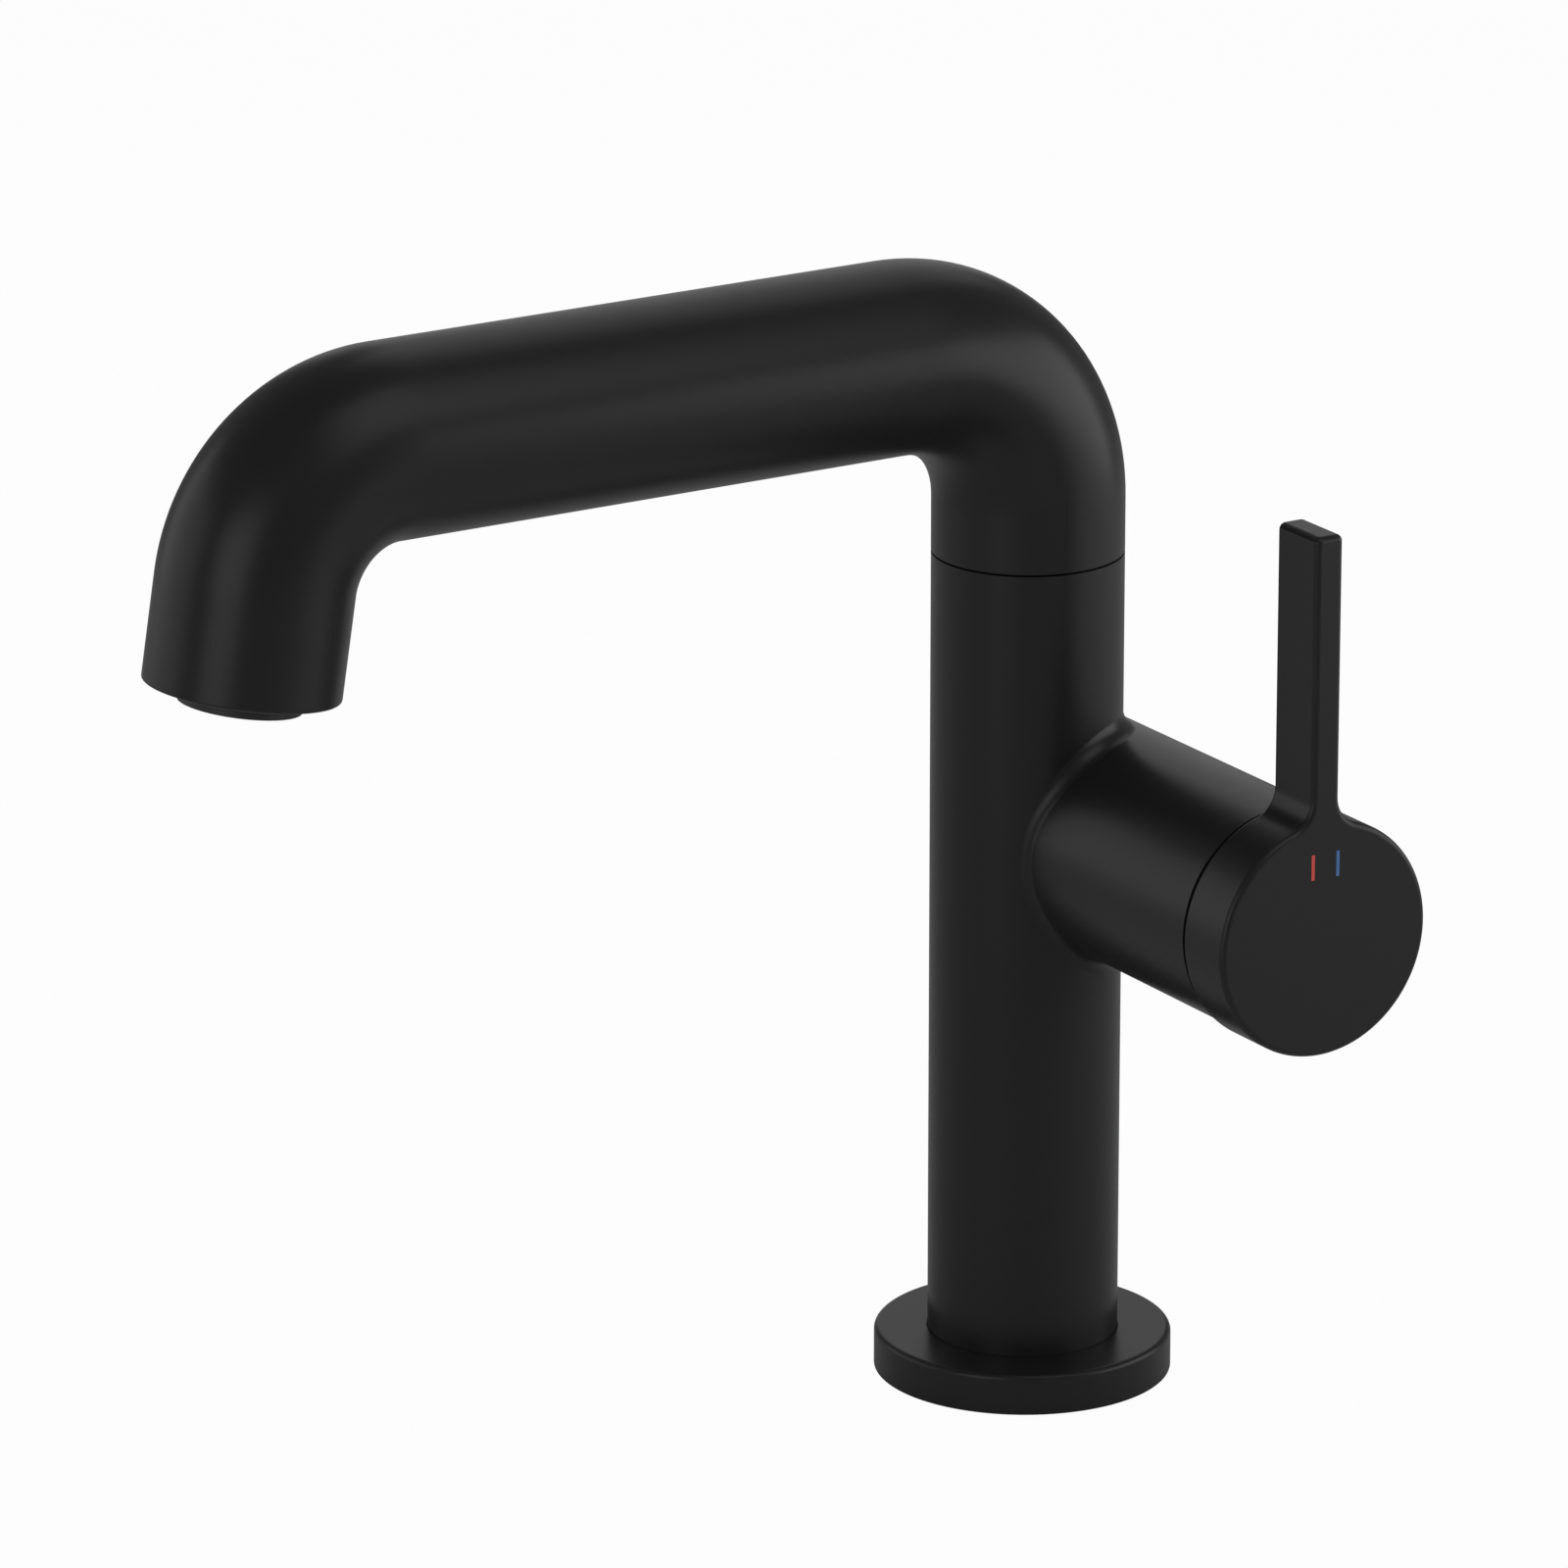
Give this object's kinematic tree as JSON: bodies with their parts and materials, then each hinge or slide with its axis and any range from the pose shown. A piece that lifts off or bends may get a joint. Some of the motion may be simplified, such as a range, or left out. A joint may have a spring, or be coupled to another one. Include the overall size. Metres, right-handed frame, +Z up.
{
  "type": "single-lever basin mixer faucet",
  "caption": "Matte black basin mixer with a round column, a side lever on a short valve barrel and a swivelling bent tube spout with an aerator.",
  "frame": {"origin": "centre of the underside, on the column's axis", "axes": "+Z up along the column, the spout points to -Y at rest, the valve barrel and its lever point to +X"},
  "size_m": [0.097, 0.1937, 0.1954],
  "materials": {
    "black": "fine matte powder coat",
    "rubber": "matte",
    "polymer": "satin",
    "polymer_dark": "satin",
    "ceramic_white": "lapped",
    "brass": "machined",
    "steel": "satin",
    "aerator_grey": "satin",
    "red": "enamel",
    "blue": "enamel"
  },
  "bodies": {
    "faucet_body": {"body_casting": "black", "base_flange": "black", "base_gasket": "rubber", "cartridge_base": "polymer", "port_seal": "rubber", "disc_seal": "rubber", "fixed_disc": "ceramic_white", "cartridge_housing": "polymer", "clamp_nut": "brass", "cartridge_cover": "black", "thrust_washer": "polymer_dark", "swivel_stop_screw": "steel"},
    "temperature_carrier": {"stem_guide": "polymer", "pivot_pin": "steel"},
    "lever": {"lever_stem": "brass", "handle": "black", "handle_grub_screw": "steel", "hot_mark": "red", "cold_mark": "blue"},
    "mixing_disc": {"moving_disc": "ceramic_white", "disc_carriage": "polymer"},
    "swivel_spout": {"spout": "black", "spout_spigot": "brass", "lower_slide_ring": "polymer_dark", "upper_slide_ring": "polymer_dark", "lower_o_ring": "rubber", "upper_o_ring": "rubber", "aerator_housing": "aerator_grey", "aerator_grid": "aerator_grey", "aerator_screen": "steel", "flow_regulator": "polymer", "aerator_seal": "rubber"}
  },
  "joints": [
    {"name": "spout_swivel", "type": "hinge", "parent": "faucet_body", "child": "swivel_spout", "pos_m": [0, 0, 0.143], "axis": [0, 0, 1], "range_deg": [-60, 60]},
    {"name": "temperature_turn", "type": "hinge", "parent": "faucet_body", "child": "temperature_carrier", "pos_m": [0.0437, 0.0108, 0.0938], "axis": [1, 0, 0], "range_deg": [-50, 50]},
    {"name": "flow_tilt", "type": "hinge", "parent": "temperature_carrier", "child": "lever", "pos_m": [0.0437, 0.0108, 0.0938], "axis": [0, 1, 0], "range_deg": [0, 20]},
    {"name": "disc_slide", "type": "slide", "parent": "temperature_carrier", "child": "mixing_disc", "axis": [0, 0, 1], "range_m": [0, 0.0026]}
  ],
  "couplings": [
    {"joint": "disc_slide", "follows": "flow_tilt", "m_per_rad": 0.00725}
  ]
}
